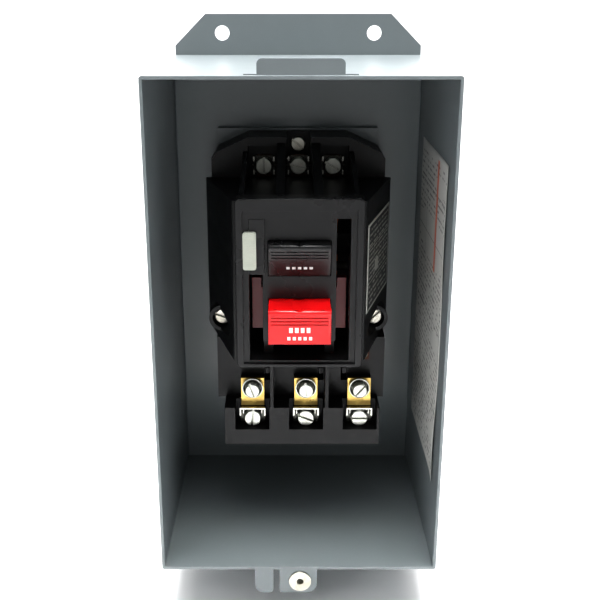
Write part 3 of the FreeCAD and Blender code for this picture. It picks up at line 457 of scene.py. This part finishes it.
unclaimed = set(NODES) - set(" ".join(LOOKS.values()).split())
if unclaimed:
    raise ValueError(f"nodes with no material: {sorted(unclaimed)}")


# ---- Extra pieces --------------------------------------------------------------------------------------


def mesh_object(name, bm, material, smooth=False):
    me = bpy.data.meshes.new(name)
    bm.to_mesh(me)
    bm.free()
    for poly in me.polygons:
        poly.use_smooth = smooth
    me.materials.append(material)
    obj = bpy.data.objects.new(name, me)
    bpy.context.scene.collection.objects.link(obj)
    return obj


def bars(name, spots, material):
    """Small raised printed bars. Each spot is (x, z, width, height, depth at its face), in millimetres."""
    bm = bmesh.new()
    for x, z, wide, tall, depth in spots:
        made = bmesh.ops.create_cube(bm, size=1.0)["verts"]
        bmesh.ops.scale(bm, vec=(wide * MM, 0.06 * MM, tall * MM), verts=made)
        bmesh.ops.translate(bm, vec=(x * MM, -(depth + 0.02) * MM, z * MM), verts=made)
    bmesh.ops.bevel(bm, geom=bm.edges[:], offset=0.015 * MM, segments=1, affect="EDGES")
    return mesh_object(name, bm, material)


CAP_FACE = 17.3
START_FOOT, START_DEPTH, START_LEAN = 25.6, 88.4, 7.1
STOP_FOOT, STOP_DEPTH, STOP_LEAN = -4.0, 104.42, 0.6


def start_face(z):
    """Depth of the START cap's leaning face at height z, in mm."""
    return START_DEPTH + (z - START_FOOT) * START_LEAN / CAP_FACE


def stop_face(z):
    """Depth of the STOP cap's face at height z, in mm."""
    return STOP_DEPTH + (z - STOP_FOOT) * STOP_LEAN / CAP_FACE


def row(count, pitch, z, wide, tall, face):
    """One row of bars, centred on the cap."""
    left = -pitch * (count - 1) / 2
    return [(left + pitch * i, z, wide, tall, face(z)) for i in range(count)]


start_marks = bars("start_marks", row(5, 2.8, 30.6, 1.7, 2.2, start_face), M["ink"])
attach(start_marks, "start")
stop_rows = row(4, 2.8, 3.4, 1.8, 2.6, stop_face) + row(5, 2.6, -0.9, 1.5, 1.7, stop_face)
stop_marks = bars("stop_marks", stop_rows, M["ink"])
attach(stop_marks, "stop")


def curled_label():
    """The wiring label: paper whose front edge and one corner have lifted off the wall."""
    bm = bmesh.new()
    across, up = 34, 56
    front_from, front_width, corner_from = 0.80, 0.20, 1.72
    front_lift, corner_lift, paper, gap = 0.9, 5.0, 0.12, 0.07
    lo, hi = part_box("wiring_label")
    wall = hi.x + 0.03 * MM
    grid = []
    for i in range(across + 1):
        u = i / across
        column = []
        for j in range(up + 1):
            v = j / up
            front = max(0.0, (u - front_from) / front_width)
            corner = max(0.0, u + (1 - v) - corner_from)
            wave = 0.55 + 0.45 * math.sin(9.0 * v + 0.6)
            lift = front_lift * front**2 * wave + corner_lift * corner**2
            ripple = 0.05 * math.sin(23 * v + 4 * u) * u
            x = wall - (gap + max(0.0, lift + ripple)) * MM
            edge = 0.35 * math.sin(15 * v) * u**6 * MM
            y = hi.y + (lo.y - hi.y) * u + edge
            column.append(bm.verts.new((x, y, lo.z + (hi.z - lo.z) * v)))
        grid.append(column)
    for a, b in zip(grid, grid[1:]):
        for j in range(up):
            bm.faces.new((a[j], a[j + 1], b[j + 1], b[j]))
    bmesh.ops.recalc_face_normals(bm, faces=bm.faces)
    obj = mesh_object("curled_label", bm, M["paper"], True)
    sheet = obj.modifiers.new("sheet", "SOLIDIFY")
    sheet.thickness = paper * MM
    sheet.offset = 0
    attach(obj, "box")
    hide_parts("wiring_label")


curled_label()


# ---- Stage, light and camera ---------------------------------------------------------------------------


def stage():
    """A pale floor that curves up into a backdrop."""
    bm = bmesh.new()
    floor, back, radius = LOW.z - 0.002, 0.95, 0.5
    near, top, half_wide, steps = -1.3, 2.4, 2.6, 24
    path = [(near, floor)]
    for i in range(steps + 1):
        a = math.radians(-90 + 90 * i / steps)
        path.append((back - radius + radius * math.cos(a), floor + radius + radius * math.sin(a)))
    path.append((back, top))
    rows = []
    for y, z in path:
        rows.append([bm.verts.new((x, y, z)) for x in (-half_wide, half_wide)])
    for a, b in zip(rows, rows[1:]):
        bm.faces.new((a[0], a[1], b[1], b[0]))
    m = Mat("studio_floor", (0.86, 0.86, 0.86), 0.7)
    grain = m.noise(30, 4, 0.5)
    m.color(m.mix(grain, (0.84, 0.84, 0.84), (0.88, 0.88, 0.88)))
    obj = mesh_object("studio", bm, m.m, True)


def area(name, place, target, size, power, spread=180):
    """A rectangular lamp that the camera does not see, turned towards target."""
    data = bpy.data.lights.new(name, "AREA")
    data.shape = "RECTANGLE"
    data.size, data.size_y = size
    data.energy = power
    data.spread = math.radians(spread)
    lamp = bpy.data.objects.new(name, data)
    lamp.location = place
    lamp.rotation_euler = (Vector(target) - Vector(place)).to_track_quat("-Z", "Y").to_euler()
    lamp.visible_camera = False
    bpy.context.scene.collection.objects.link(lamp)


def lights():
    world = bpy.data.worlds.new("studio_light")
    bpy.context.scene.world = world
    world.use_nodes = True
    tree = world.node_tree
    sky = tree.nodes["Background"]
    sky.inputs["Color"].default_value = (0.97, 0.98, 1.0, 1)
    # The studio is bright all round, but dim straight in front of the box's mouth.
    side = tree.nodes.new("ShaderNodeSeparateXYZ")
    tree.links.new(tree.nodes.new("ShaderNodeTexCoord").outputs["Generated"], side.inputs[0])
    fade = tree.nodes.new("ShaderNodeMapRange")
    fade.interpolation_type = "SMOOTHSTEP"
    for name, number in (("From Min", -0.88), ("From Max", -0.45), ("To Min", 0.10), ("To Max", 0.62)):
        fade.inputs[name].default_value = number
    tree.links.new(side.outputs[1], fade.inputs["Value"])
    tree.links.new(fade.outputs[0], sky.inputs["Strength"])
    area("overhead", (0, -0.13, 0.62), (0, -0.10, 0), size=(0.6, 0.34), power=2.3, spread=62)
    area("front_card", (0, -0.62, 0.03), (0, -0.03, 0.03), size=(0.5, 0.3), power=0.26)
    area("front_left", (-0.9, -1.0, 0.7), (0, -0.08, 0), size=(0.5, 0.7), power=1.5)
    area("backdrop", (0, 0.30, 1.3), (0, 0.85, 0.1), size=(2.0, 0.6), power=34)


def camera():
    """In front of the box, above its top, tilted down at it."""
    tilt = 17.6
    data = bpy.data.cameras.new("view")
    cam = bpy.data.objects.new("view", data)
    cam.location = (-0.0062, -0.504, 0.1634)
    cam.rotation_euler = Euler((math.radians(90 - tilt), 0, 0))
    data.sensor_width = 36
    data.lens = 53.85
    data.shift_y = -0.06
    data.shift_x = 0.022
    data.clip_start, data.clip_end = 0.01, 20
    bpy.context.scene.collection.objects.link(cam)
    bpy.context.scene.camera = cam


stage()
lights()
camera()
bpy.context.scene.view_settings.view_transform = "Standard"
bpy.context.scene.view_settings.look = "Medium High Contrast"
